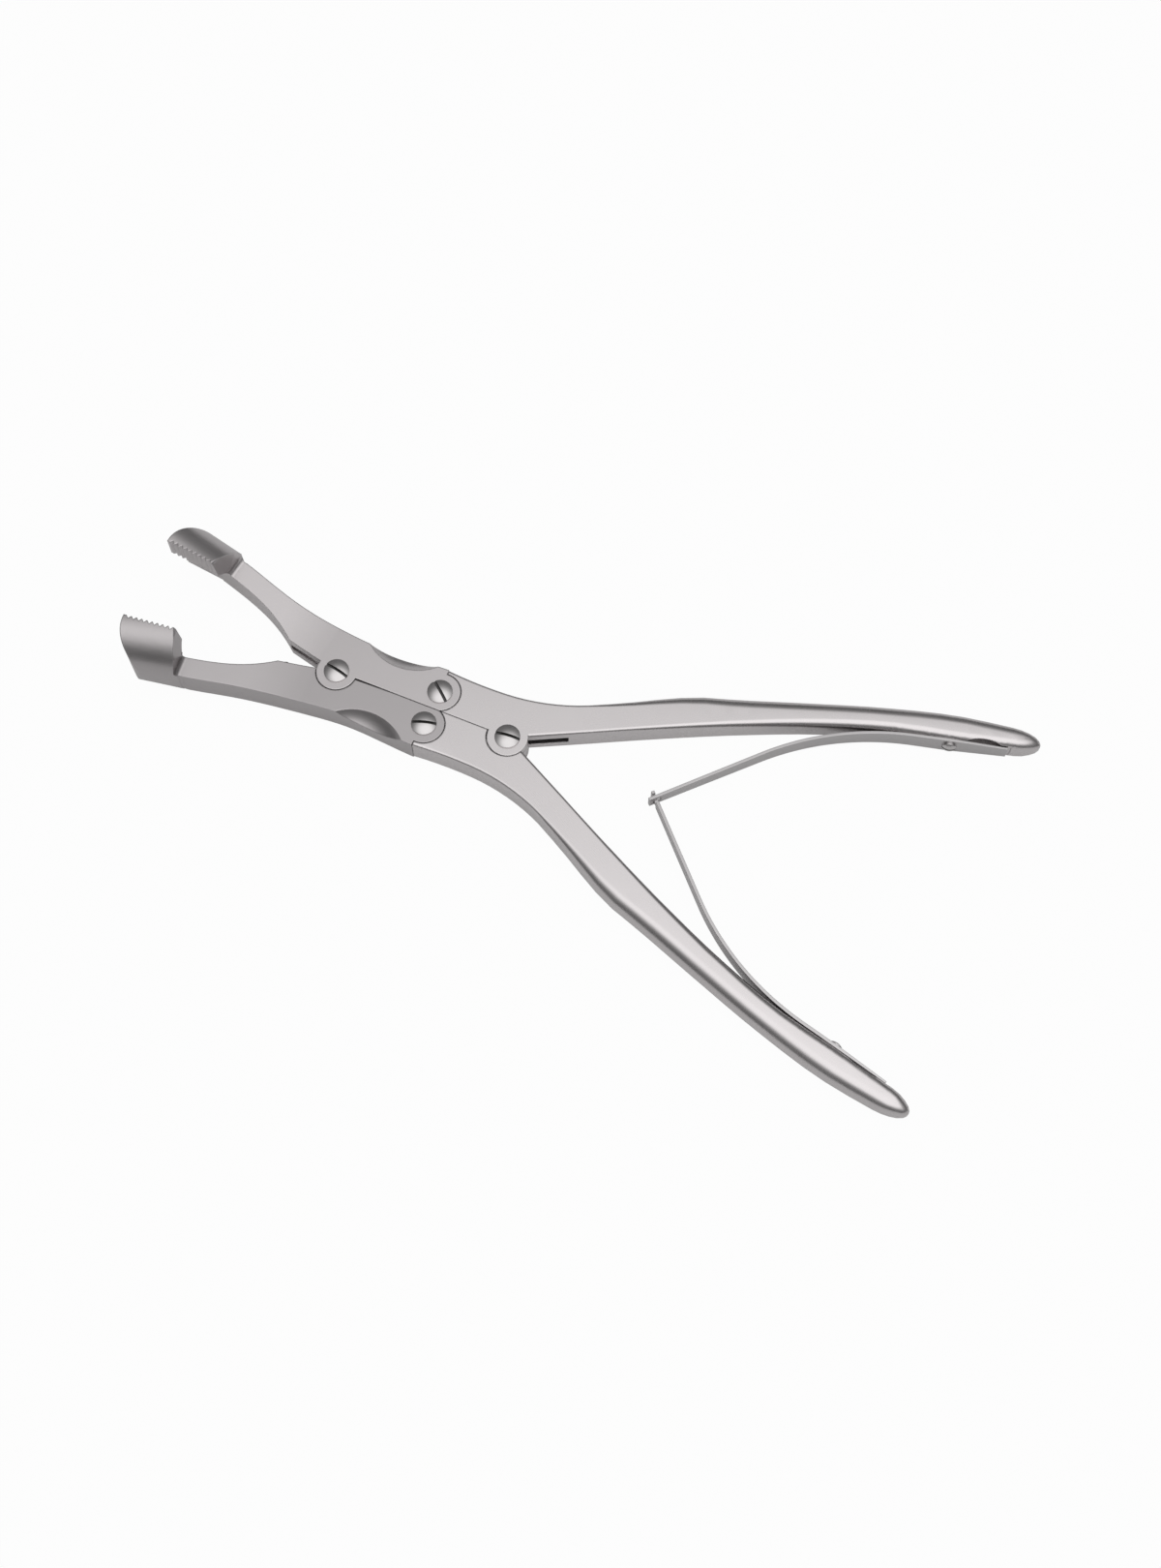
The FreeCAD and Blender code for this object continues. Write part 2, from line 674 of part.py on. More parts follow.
def make_leaf(name, side, windowed):
    """Leaf spring: flat root, long bow and straight tip; narrows towards the tip."""
    body = doc.addObject("PartDesign::Body", name)
    body.Label = name
    half = size("leaf_thick") / 2
    turn = math.radians(size("leaf_turn"))
    bow = size("leaf_bow_radius")
    tangent = bow * math.tan(turn / 2)
    heel, vertex = -size("leaf_heel"), size("leaf_vertex")
    bow_x = vertex - tangent

    # Straight run from the bow to where the two leaves cross, and past it to the tip.
    place, root_angle = leaf_root(1)
    to_middle = place.y - vertex * math.sin(root_angle)
    cross_run = to_middle / math.sin(root_angle + turn) - tangent
    tip_run = cross_run + size("leaf_tip_over")

    def on_bow(angle, shift):
        return (bow_x + (bow - shift) * math.sin(angle), bow - (bow - shift) * math.cos(angle))

    def tip_point(run, shift):
        x, y = on_bow(turn, shift)
        return (x + run * math.cos(turn), y + run * math.sin(turn))

    plan = new_sketch(body, "LeafPlan")
    outline(plan, (heel, -half), [
        (bow_x, -half),
        (on_bow(turn / 2, -half), on_bow(turn, -half)),
        tip_point(tip_run, -half),
        tip_point(tip_run, half),
        on_bow(turn, half),
        (on_bow(turn / 2, half), (bow_x, half)),
        (heel, half),
    ])
    extrude(body, "Pad", "Leaf", plan, "Sizes.leaf_root_width", both=True)

    # Taper in width towards the tip, cut from both edges.
    root, tip = size("leaf_root_width") / 2, size("leaf_tip_width") / 2
    end_x = tip_point(tip_run, 0)[0]
    side_view = turned(Vector(), Vector(1, 0, 0), Vector(0, 0, 1))
    for edge, label in ((1, "Upper"), (-1, "Lower")):
        taper = new_sketch(body, label + "TaperSketch", side_view)
        outline(taper, (6.0, edge * root), [
            (end_x + 3, edge * tip),
            (end_x + 3, edge * (root + 1)),
            (6.0, edge * (root + 1)),
        ])
        extrude(body, "Pocket", label + "Taper", taper, 2 * through, both=True)

    # Where the tips cross: a window in one leaf, a neck with a T end on the other.
    neck = size("leaf_neck") / 2
    cross_x = tip_point(cross_run, 0)[0]
    reach = size("leaf_window") / 2 * math.cos(turn)
    if windowed:
        window = new_sketch(body, "WindowSketch", side_view)
        tall = neck + size("leaf_neck_clear")
        outline(window, (cross_x - reach, -tall), [
            (cross_x + reach, -tall),
            (cross_x + reach, tall),
            (cross_x - reach, tall),
        ])
        extrude(body, "Pocket", "Window", window, 2 * through, both=True)
    else:
        for edge, label in ((1, "Upper"), (-1, "Lower")):
            shoulder = new_sketch(body, label + "NeckSketch", side_view)
            outline(shoulder, (cross_x - reach, edge * neck), [
                (cross_x + 0.6 * reach, edge * neck),
                (cross_x + 0.6 * reach, edge * (root + 1)),
                (cross_x - reach, edge * (root + 1)),
            ])
            extrude(body, "Pocket", label + "Neck", shoulder, 2 * through, both=True)

    hole = new_sketch(body, "HoleSketch", side_view)
    disc(hole, Vector(), "Sizes.spring_screw_radius + Sizes.leaf_hole_clear",
         size("spring_screw_radius") + size("leaf_hole_clear"))
    extrude(body, "Pocket", "Hole", hole, 6.0, both=True)
    body.Placement = leaf_frame(side)
    doc.recompute()
    return body


def make_pivot_screw(name, centre, slot_turn):
    """Round-headed slotted pivot screw, threaded end down."""
    body = doc.addObject("PartDesign::Body", name)
    body.Label = name
    upright = turned(Vector(), Vector(1, 0, 0), Vector(0, 0, 1))
    head, rim, rise = size("head_radius"), size("head_rim"), size("head_rise")
    shank = size("screw_radius")
    shape = new_sketch(body, "ScrewProfile", upright)
    outline(shape, (0, 0), [
        (shank, 0),
        (shank, thick),
        (head, thick),
        (head, thick + rise + 0.2),
        (0, thick + rise + 0.2),
    ])
    screw = body.newObject("PartDesign::Revolution", "Screw")
    screw.Profile = shape
    screw.ReferenceAxis = (shape, ["V_Axis"])
    screw.Angle = 360
    doc.recompute()

    # Dome of the head, turned about a level axis so that its poles lie outside the head.
    dome = (head ** 2 + (rise - rim) ** 2) / (2 * (rise - rim))
    half = 1.3 * head
    level = turned(Vector(0, 0, thick + rise - dome), Vector(1, 0, 0), Vector(0, 0, 1))
    crown = new_sketch(body, "DomeProfile", level)
    outline(crown, (-half, math.sqrt(dome ** 2 - half ** 2)), [
        ((0, dome), (half, math.sqrt(dome ** 2 - half ** 2))),
        (half, dome + 1.0),
        (-half, dome + 1.0),
    ])
    rounding = body.newObject("PartDesign::Groove", "Dome")
    rounding.Profile = crown
    rounding.ReferenceAxis = (crown, ["H_Axis"])
    rounding.Angle = 360
    doc.recompute()
    slot = new_sketch(body, "SlotSketch", height=f"{THICK_EXPR} + Sizes.head_rise + 0.5")
    wide = size("slot_width") / 2
    outline(slot, (-head - 1, -wide), [(head + 1, -wide), (head + 1, wide), (-head - 1, wide)])
    extrude(body, "Pocket", "Slot", slot, "Sizes.slot_depth + 0.5")
    body.Placement = Placement(centre, Rotation(Vector(0, 0, 1), slot_turn))
    doc.recompute()
    return body


def make_spring_screw(name, side):
    """Small slotted screw that holds a leaf to the inner face of its handle."""
    body = doc.addObject("PartDesign::Body", name)
    body.Label = name
    radius, head = size("spring_screw_radius"), size("spring_head_radius")
    rise, deep = size("spring_head_rise"), size("spring_screw_length")
    seat = size("leaf_thick") / 2
    shape = new_sketch(body, "ScrewProfile")
    outline(shape, (0, -deep), [
        (radius, -deep),
        (radius, seat),
        (head, seat),
        (head, seat + 0.5 * rise),
        (0.66 * head, seat + rise),
        (0, seat + rise),
    ])
    screw = body.newObject("PartDesign::Revolution", "Screw")
    screw.Profile = shape
    screw.ReferenceAxis = (shape, ["V_Axis"])
    screw.Angle = 360
    doc.recompute()
    face = turned(Vector(0, seat + rise + 0.5, 0), Vector(1, 0, 0), Vector(0, 0, -1))
    slot = new_sketch(body, "SlotSketch", face)
    outline(slot, (-0.25, -head - 1), [(0.25, -head - 1), (0.25, head + 1), (-0.25, head + 1)])
    extrude(body, "Pocket", "Slot", slot, 0.5 + 0.55 * rise)
    body.Placement = leaf_frame(side)
    doc.recompute()
    return body


pieces = [
    make_jaw("upper_jaw", 1, forked=True),
    make_jaw("lower_jaw", -1, forked=False),
    make_handle("upper_handle", 1, forked=True),
    make_handle("lower_handle", -1, forked=False),
    make_pivot_screw("jaw_pivot_screw", JAW_PIVOT, -10.2),
    make_pivot_screw("upper_link_screw", link_pivot(1), -38.7),
    make_pivot_screw("lower_link_screw", link_pivot(-1), 18.0),
    make_pivot_screw("handle_pivot_screw", HANDLE_PIVOT, 5.8),
    make_leaf("upper_leaf_spring", 1, windowed=True),
    make_leaf("lower_leaf_spring", -1, windowed=False),
    make_spring_screw("upper_spring_screw", 1),
    make_spring_screw("lower_spring_screw", -1),
]
doc.recompute()

faulty = [o.Name for o in doc.Objects if "Invalid" in o.State or "Error" in o.State]
if faulty:
    raise RuntimeError(f"failed objects: {faulty}")
for piece in pieces:
    if piece.Shape.isNull() or not piece.Shape.isValid() or len(piece.Shape.Solids) != 1:
        raise RuntimeError(f"{piece.Label}: bad shape, {len(piece.Shape.Solids)} solids")
for piece in pieces:
    piece.Shape.exportStep(f"parts/{piece.Label}.step")
    box = piece.Shape.BoundBox
    print(f"{piece.Label}: {piece.Shape.Volume:.1f} mm3, x {box.XMin:.1f}..{box.XMax:.1f}, "
          f"y {box.YMin:.1f}..{box.YMax:.1f}, z {box.ZMin:.2f}..{box.ZMax:.2f}")
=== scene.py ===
# %% [markdown]
# # Molar forceps in satin steel
#
# The forceps are a double-action instrument: two jaws and two handles, joined by four slotted
# screws, with a pair of crossed leaf springs that push the handles apart. The solids arrive
# already packed as a frame. This notebook gives the jaws their finish, skins the handles anew,
# and remakes the pieces that follow a simple rule: the screws and the leaf springs.
#
# First the frame is loaded.

# %% Load the frame
import math
import bmesh
import bpy
from mathutils import Euler, Matrix, Vector


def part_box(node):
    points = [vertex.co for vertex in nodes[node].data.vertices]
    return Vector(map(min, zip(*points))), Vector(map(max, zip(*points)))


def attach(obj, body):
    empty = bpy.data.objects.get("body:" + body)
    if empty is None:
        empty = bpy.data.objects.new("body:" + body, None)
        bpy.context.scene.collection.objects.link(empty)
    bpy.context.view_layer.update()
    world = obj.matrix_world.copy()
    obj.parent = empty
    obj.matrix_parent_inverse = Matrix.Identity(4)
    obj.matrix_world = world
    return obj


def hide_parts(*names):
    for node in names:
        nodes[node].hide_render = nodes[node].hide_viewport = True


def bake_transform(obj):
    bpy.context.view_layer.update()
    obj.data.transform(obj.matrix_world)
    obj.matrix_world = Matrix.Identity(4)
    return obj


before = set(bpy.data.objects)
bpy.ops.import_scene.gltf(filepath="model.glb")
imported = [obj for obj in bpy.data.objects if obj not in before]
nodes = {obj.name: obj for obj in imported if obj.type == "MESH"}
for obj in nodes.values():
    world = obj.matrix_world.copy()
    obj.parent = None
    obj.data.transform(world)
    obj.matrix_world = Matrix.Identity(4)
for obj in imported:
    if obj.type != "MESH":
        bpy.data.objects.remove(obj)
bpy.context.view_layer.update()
MM = 0.001
print("pieces in the frame:", sorted(nodes))

# %% [markdown]
# ## Camera
# The photograph looks down at the forceps from 66 degrees above the table, with the jaws to
# the left. The camera could be placed by eye, but its place was worked out from the pivots
# and outlines that can be recognised, so it is given here as a position and a target.

# %% Camera at the photograph's angle
VIEW_TARGET = Vector((23.755, -2.150, 0.0)) * MM
VIEW_FROM = Vector((111.15, -208.96, 504.28)) * MM
VIEW_RIGHT = Vector((0.92113, 0.38925, 0.0))
FOCAL_OF_WIDTH = 1971.4 / 1200
SENSOR = 36.0

camera_data = bpy.data.cameras.new("photo_camera")
camera_data.sensor_fit = "HORIZONTAL"
camera_data.sensor_width = SENSOR
camera_data.lens = SENSOR * FOCAL_OF_WIDTH
camera_data.clip_start = 0.01
camera_data.clip_end = 20.0
camera = bpy.data.objects.new("photo_camera", camera_data)
bpy.context.collection.objects.link(camera)
back = (VIEW_FROM - VIEW_TARGET).normalized()
axes = Matrix((VIEW_RIGHT, back.cross(VIEW_RIGHT), back))
camera.matrix_world = axes.transposed().to_4x4()
camera.location = VIEW_FROM
bpy.context.scene.camera = camera
print("camera distance:", round((VIEW_FROM - VIEW_TARGET).length / MM), "mm")

# %% [markdown]
# ## Writing node trees as sums
# A node tree can be wired link by link, but a formula is easier to read. This small class
# wraps a socket, and each operator on it adds one Math node, so `1 - mask * 0.5` is a tree.

# %% A socket that can be added and multiplied
class Value:
    """A socket of a node tree, with the arithmetic that its tree needs."""

    def __init__(self, workshop, socket):
        self.workshop = workshop
        self.socket = socket

    def maths(self, operation, *others):
        return self.workshop.maths(operation, self, *others)

    def __add__(self, other):
        return self.maths("ADD", other)

    def __radd__(self, other):
        return self.workshop.maths("ADD", other, self)

    def __sub__(self, other):
        return self.maths("SUBTRACT", other)

    def __rsub__(self, other):
        return self.workshop.maths("SUBTRACT", other, self)

    def __mul__(self, other):
        return self.maths("MULTIPLY", other)

    def __rmul__(self, other):
        return self.workshop.maths("MULTIPLY", other, self)

    def __truediv__(self, other):
        return self.maths("DIVIDE", other)

    def __rtruediv__(self, other):
        return self.workshop.maths("DIVIDE", other, self)

    def __gt__(self, other):
        return self.maths("GREATER_THAN", other)

    def __lt__(self, other):
        return self.maths("LESS_THAN", other)


class Workshop:
    """Adds nodes to a tree: the type, its settings first, then values or links."""

    def __init__(self, tree):
        self.tree = tree

    def add(self, kind, settings=None, **sockets):
        node = self.tree.nodes.new(kind)
        for name, value in (settings or {}).items():
            setattr(node, name, value)
        for name, value in sockets.items():
            self.feed(self.socket(node.inputs, name), value)
        return node

    def socket(self, sockets, name):
        plain = name.replace("_", " ").lower()
        if plain.startswith("in ") and plain[3:].isdigit():
            return sockets[int(plain[3:])]
        return next(s for s in sockets if s.name.lower() == plain and s.enabled)

    def feed(self, socket, value):
        if isinstance(value, Value):
            self.tree.links.new(value.socket, socket)
        elif isinstance(value, bpy.types.NodeSocket):
            self.tree.links.new(value, socket)
        else:
            socket.default_value = value

    def out(self, node, name=None):
        if name is None:
            return Value(self, node.outputs[0])
        return Value(self, self.socket(node.outputs, name))

    def maths(self, operation, *values):
        node = self.add("ShaderNodeMath", {"operation": operation})
        for socket, value in zip(node.inputs, values):
            self.feed(socket, value)
        return Value(self, node.outputs[0])

    def vector(self, x=0.0, y=0.0, z=0.0):
        return self.out(self.add("ShaderNodeCombineXYZ", None, X=x, Y=y, Z=z))


print("operators ready")

# %% [markdown]
# ## Satin steel
# Surgical steel is ground, then blasted or brushed so that it doesn't dazzle. What the eye
# reads as satin is a fine grain that bends the highlights and a roughness that wanders a
# little. A flat grey would look like plastic. Here a stretched noise and a fine speckle make
# the grain, a broad noise makes the faint clouding that handling leaves, and a Bevel node
# softens the edges as a polishing wheel does, without changing the mesh.


# %% One recipe for every steel surface
BRUSHED = (300.0, 4500.0, 4500.0)  # Waves per metre: long along the grain, fine across it.
SPECKLE = (5000.0, 5000.0, 5000.0)
CLOUDS = (70.0, 120.0, 120.0)
GRAIN_HEIGHT = 0.02 * MM
BRUSHED_SHARE = 0.65
CLOUD_SHADE, GRAIN_SHADE = 0.05, 0.06
CLOUD_ROUGHNESS, GRAIN_ROUGHNESS = 0.10, 0.08


def satin_steel(name, colour, rough, grain, edge, turn=0.0):
    """Steel by colour, roughness, grain depth, edge radius in mm and turn of the grain."""
    material = bpy.data.materials.new(name)
    material.use_nodes = True
    material.node_tree.nodes.clear()
    shop = Workshop(material.node_tree)
    place = shop.out(shop.add("ShaderNodeTexCoord"), "Object")

    def noise(stretch, detail):
        grain_size = tuple(1.0 / times for times in stretch)
        mapping = shop.add("ShaderNodeMapping", {"vector_type": "TEXTURE"}, Vector=place,
                           Rotation=(0.0, 0.0, turn), Scale=grain_size)
        field = shop.add("ShaderNodeTexNoise", None, Vector=mapping.outputs[0], Scale=1.0,
                         Detail=detail, Roughness=0.55)
        return shop.out(field, "Fac")

    brushed = noise(BRUSHED, 2.0)
    speckle = noise(SPECKLE, 1.0)
    clouds = noise(CLOUDS, 3.0)
    texture = brushed * BRUSHED_SHARE + speckle * (1.0 - BRUSHED_SHARE)

    bevel = shop.add("ShaderNodeBevel", {"samples": 6}, Radius=edge * MM)
    bump = shop.add("ShaderNodeBump", None, Strength=grain, Distance=GRAIN_HEIGHT,
                    Height=texture, Normal=bevel.outputs[0])
    shade = 1.0 + (clouds - 0.5) * CLOUD_SHADE + (texture - 0.5) * GRAIN_SHADE
    roughness = rough + (clouds - 0.5) * CLOUD_ROUGHNESS + (texture - 0.5) * GRAIN_ROUGHNESS
    tint = shop.add("ShaderNodeMix", {"data_type": "RGBA", "blend_type": "MULTIPLY"})
    tint.inputs[0].default_value = 1.0
    tint.inputs[6].default_value = (*colour, 1.0)
    grey = shop.add("ShaderNodeCombineColor", None, Red=shade, Green=shade, Blue=shade)
    material.node_tree.links.new(grey.outputs[0], tint.inputs[7])
    shader = shop.add("ShaderNodeBsdfPrincipled", None, Base_Color=tint.outputs[2],
                      Metallic=1.0, Roughness=roughness, Normal=bump.outputs[0])
    shop.add("ShaderNodeOutputMaterial", None, Surface=shader.outputs[0])
    return material


GRIP_TURN = math.radians(27.0)
STEEL = (0.60, 0.572, 0.576)
# Painted shade: the jaws' steel made darker for the lower jaw.
SHADED_JAW_STEEL = (0.49, 0.467, 0.471)
GRIP_STEEL = (0.64, 0.612, 0.616)
SCREW_STEEL = (0.62, 0.60, 0.60)
# Painted shade: a dark steel for the inside of the screw slots, where shade falls.
SLOT_SHADE_STEEL = (0.13, 0.125, 0.125)
LEAF_STEEL = (0.52, 0.505, 0.508)
upper_jaw_finish = satin_steel("satin_upper_jaw", STEEL, 0.34, 0.05, 0.45)
# The lower jaw's darker steel is painted shade.
shaded_lower_jaw_finish = satin_steel("painted_shade_lower_jaw", SHADED_JAW_STEEL, 0.34, 0.05, 0.45)
upper_finish = satin_steel("satin_upper_grip", GRIP_STEEL, 0.27, 0.025, 0.45, turn=GRIP_TURN)
lower_finish = satin_steel("satin_lower_grip", GRIP_STEEL, 0.27, 0.025, 0.45, turn=-GRIP_TURN)
screw_finish = satin_steel("polished_screw", SCREW_STEEL, 0.30, 0.04, 0.12)
# Painted shade for the slots: a dark steel in place of the shade in the recess.
painted_slot_shade = satin_steel("slot_painted_shade", SLOT_SHADE_STEEL, 0.55, 0.04, 0.05)
leaf_finish = satin_steel("satin_leaf", LEAF_STEEL, 0.30, 0.03, 0.1)
print("finishes:", [m.name for m in bpy.data.materials if m.use_nodes])

# %% [markdown]
# ## Jaws
# The beaks are ground with teeth that grip a crown, and the arms rise to clear the gum. They
# could be skinned anew like the handles. But their solids already have the right shape and
# mostly flat faces, so they only get their finish. The lower jaw gets a darker copy of the
# same steel, as painted shade.

# %% Dress the jaws
# The lower jaw gets the darker steel, as painted shade.
for name, finish in (("upper_jaw", upper_jaw_finish), ("lower_jaw", shaded_lower_jaw_finish)):
    for slot in nodes[name].material_slots:
        slot.material = finish
print("dressed: both jaws")

# %% [markdown]
# ## Handles
# A grip is polished until no line shows along it, but its solid is skinned from flat-sided
# stretches. The mesh could be rebuilt, yet its outline is right and only its shading isn't.
# So a copy is merged into one skin, and the edges that are nearly flat are shaded across.
# Grain runs along each grip.


# %% One skin for each handle
WELD = 0.001 * MM
NEARLY_FLAT = math.radians(28.0)


def evaluated_mesh(host):
    """The mesh that an object's modifiers give, as plain data."""
    bpy.context.view_layer.update()
    evaluated = host.evaluated_get(bpy.context.evaluated_depsgraph_get())
    return bpy.data.meshes.new_from_object(evaluated)


def one_skin(name, finish):
    """A merged copy of a handle, shaded smooth across its nearly flat edges."""
    mesh = nodes[name].data.copy()
    skin = bmesh.new()
    skin.from_mesh(mesh)
    bmesh.ops.remove_doubles(skin, verts=skin.verts, dist=WELD)
    for edge in skin.edges:
        edge.smooth = edge.calc_face_angle(math.pi) < NEARLY_FLAT
    for face in skin.faces:
        face.smooth = True
    skin.to_mesh(mesh)
    skin.free()
    if mesh.has_custom_normals:
        mesh.attributes.remove(mesh.attributes["custom_normal"])
    mesh.materials.clear()
    mesh.materials.append(finish)
    host = bpy.data.objects.new(name + "_host", mesh)
    bpy.context.collection.objects.link(host)
    weigh = host.modifiers.new("flats", "WEIGHTED_NORMAL")
    weigh.keep_sharp = True
    weigh.weight = 50
    result = evaluated_mesh(host)
    bpy.data.objects.remove(host)
    piece = bpy.data.objects.new("polished_" + name, result)
    bpy.context.collection.objects.link(piece)
    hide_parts(name)
    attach(piece, name)
    return piece


for name, finish in (("upper_handle", upper_finish), ("lower_handle", lower_finish)):
    piece = one_skin(name, finish)
    print(piece.name, len(piece.data.polygons), "faces")

# %% [markdown]
# ## Slotted screws
# Six screws hold the forceps together, all the same form: a domed head with one slot on a
# plain shank. Each could be spun from a drawn profile. Geometry Nodes do it by rule: a grid
# whose columns are rings, where the column number decides the radius and the height. The
# rings are closed into a skin, and a box is taken away to leave the slot.


# %% The screw tree
def new_tree(name, sizes):
    """A geometry tree with named inputs, and a dictionary of their values."""
    tree = bpy.data.node_groups.new(name, "GeometryNodeTree")
    tree.interface.new_socket("Geometry", in_out="OUTPUT", socket_type="NodeSocketGeometry")
    for label, kind in sizes.items():
        tree.interface.new_socket(label, in_out="INPUT", socket_type=kind)
    shop = Workshop(tree)
    source = tree.nodes.new("NodeGroupInput")
    given = {label: Value(shop, source.outputs[label]) for label in sizes}
    return tree, shop, given


def finish_tree(shop, geometry, material, sharp=35.0):
    """Real geometry, shaded smooth up to the given angle, with its material set."""
    real = shop.add("GeometryNodeRealizeInstances", None, Geometry=geometry)
    edge_angle = shop.add("GeometryNodeInputMeshEdgeAngle")
    soft = shop.out(edge_angle, "Unsigned Angle") < math.radians(sharp)
    smooth = shop.add("GeometryNodeSetShadeSmooth", {"domain": "EDGE"}, Geometry=real.outputs[0],
                      Shade_Smooth=soft)
    faces = shop.add("GeometryNodeSetShadeSmooth", {"domain": "FACE"}, Geometry=smooth.outputs[0],
                     Shade_Smooth=True)
    coated = shop.add("GeometryNodeSetMaterial", None, Geometry=faces.outputs[0],
                      Material=material)
    shop.add("NodeGroupOutput", None, Geometry=coated.outputs[0])


def ring_grid(shop, columns, around):
    """A grid of columns by rows; returns its geometry and each point's column and angle.

    The last row gets the very angle of the first, so the two merge and the tube is closed.
    """
    grid = shop.add("GeometryNodeMeshGrid", None, Size_X=1.0, Size_Y=1.0)
    grid.inputs["Vertices X"].default_value = columns
    grid.inputs["Vertices Y"].default_value = around + 1
    index = shop.out(shop.add("GeometryNodeInputIndex"))
    column = (index / (around + 1.0)).maths("FLOOR")
    row = (index - column * (around + 1.0)).maths("MODULO", float(around))
    return grid, column, row * (2 * math.pi / around)


DOME_RINGS = 12
AROUND = 72
MERGE = 0.002 * MM


def screw_tree(material):
    length = "NodeSocketFloat"
    tree, shop, size = new_tree("slotted screw", {
        "Head radius": length, "Dome rise": length, "Rim": length, "Shank radius": length,
        "Shank length": length, "Slot width": length, "Slot floor": length,
        "Place": "NodeSocketVector", "Turn": "NodeSocketVector",
    })
    head, rise, rim = size["Head radius"], size["Dome rise"], size["Rim"]
    shank, deep = size["Shank radius"], size["Shank length"]
    grid, column, angle = ring_grid(shop, DOME_RINGS + 5, AROUND)

    ball = (head * head + rise * rise) / (rise * 2.0)
    widest = (head / ball).maths("ARCSINE")
    polar = column.maths("MINIMUM", float(DOME_RINGS)) * (1 / DOME_RINGS) * widest
    on_dome = column < DOME_RINGS + 0.5
    under_head = (column > DOME_RINGS + 0.5) * (column < DOME_RINGS + 1.5)
    on_shank = (column > DOME_RINGS + 1.5) * (column < DOME_RINGS + 3.5)
    at_foot = column > DOME_RINGS + 2.5
    radius = on_dome * ball * polar.maths("SINE") + under_head * head + on_shank * shank
    dome_height = rim + rise - ball * (1.0 - polar.maths("COSINE"))
    height = on_dome * dome_height - at_foot * deep
    place = shop.vector(radius * angle.maths("COSINE"), radius * angle.maths("SINE"), height)
    spun = shop.add("GeometryNodeSetPosition", None, Geometry=grid.outputs[0], Position=place)
    skin = shop.add("GeometryNodeMergeByDistance", None, Geometry=spun.outputs[0],
                    Distance=MERGE)

    tall = rim + rise
    cutter = shop.add("GeometryNodeMeshCube", None,
                      Size=shop.vector(head * 3.0, size["Slot width"], tall))
    raised = shop.add("GeometryNodeTransform", None, Geometry=cutter.outputs[0],
                      Translation=shop.vector(0.0, 0.0, size["Slot floor"] + tall * 0.5))
    slotted = shop.add("GeometryNodeMeshBoolean", {"operation": "DIFFERENCE", "solver": "EXACT"},
                       in_0=skin.outputs[0], in_1=raised.outputs[0])
    placed = shop.add("GeometryNodeTransform", None, Geometry=slotted.outputs[0],
                      Translation=size["Place"], Rotation=size["Turn"])
    finish_tree(shop, placed.outputs[0], material)
    return tree


screw_rule = screw_tree(screw_finish)
print("screw tree nodes:", len(screw_rule.nodes))


# %% [markdown]
# A modifier gives a live result, but a piece has to be a plain mesh before it can be handed
# to a body. So each tree runs once on an empty host, its result is copied, and the host goes.
# A narrow bevel, where one is asked for, breaks the sharp edges.

# %% Make a piece from a tree
def make_piece(name, tree, values, replaced, round_edge=0.0):
    """Runs a tree with the given sizes and keeps the result as a plain mesh."""
    host = bpy.data.objects.new(name, bpy.data.meshes.new(name + "_blank"))
    bpy.context.collection.objects.link(host)
    modifier = host.modifiers.new("rule", "NODES")
    modifier.node_group = tree
    for item in tree.interface.items_tree:
        if item.in_out == "INPUT" and item.name in values:
            modifier[item.identifier] = values[item.name]
    if round_edge:
        edge = host.modifiers.new("edge", "BEVEL")
        edge.width = round_edge * MM
        edge.segments = 2
        edge.limit_method = "ANGLE"
        edge.angle_limit = math.radians(40)
        edge.harden_normals = True
    mesh = evaluated_mesh(host)
    bpy.data.objects.remove(host)
    piece = bpy.data.objects.new(name, mesh)
    bpy.context.collection.objects.link(piece)
    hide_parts(replaced)
    return piece


print("rules can be made into pieces")

# %% [markdown]
# The inside of a slot lies in shade, and that shade is painted in. A mask in the material could
# paint it too, but here the faces inside the slot get a dark, rough steel of their own, as
# painted shade. They are found by their place on the screw.


# %% Paint shade into a slot
SLOT_MARGIN = 0.02 * MM


def paint_slot_shade(piece, place, turn, slot_width):
    """Gives the faces inside a screw's slot a dark steel that is painted shade."""
    # Painted shade: the faces inside the slot get the dark steel.
    piece.data.materials.append(painted_slot_shade)
    shade_index = len(piece.data.materials) - 1
    unturn = Euler(turn).to_matrix().inverted()
    inside = slot_width / 2 + SLOT_MARGIN
    dark = 0
    for face in piece.data.polygons:
        local = unturn @ (face.center - Vector(place))
        if abs(local.y) < inside and local.z > SLOT_MARGIN:
            face.material_index = shade_index
            dark += 1
    print(piece.name, "faces in the slot:", dark)


print("slots get the finish", painted_slot_shade.name)

# %% [markdown]
# The four pivot screws sit at the corners of the linkage. Their centres are read from the
# frame, so they stay right if the solids change. Only the way each slot points is chosen.


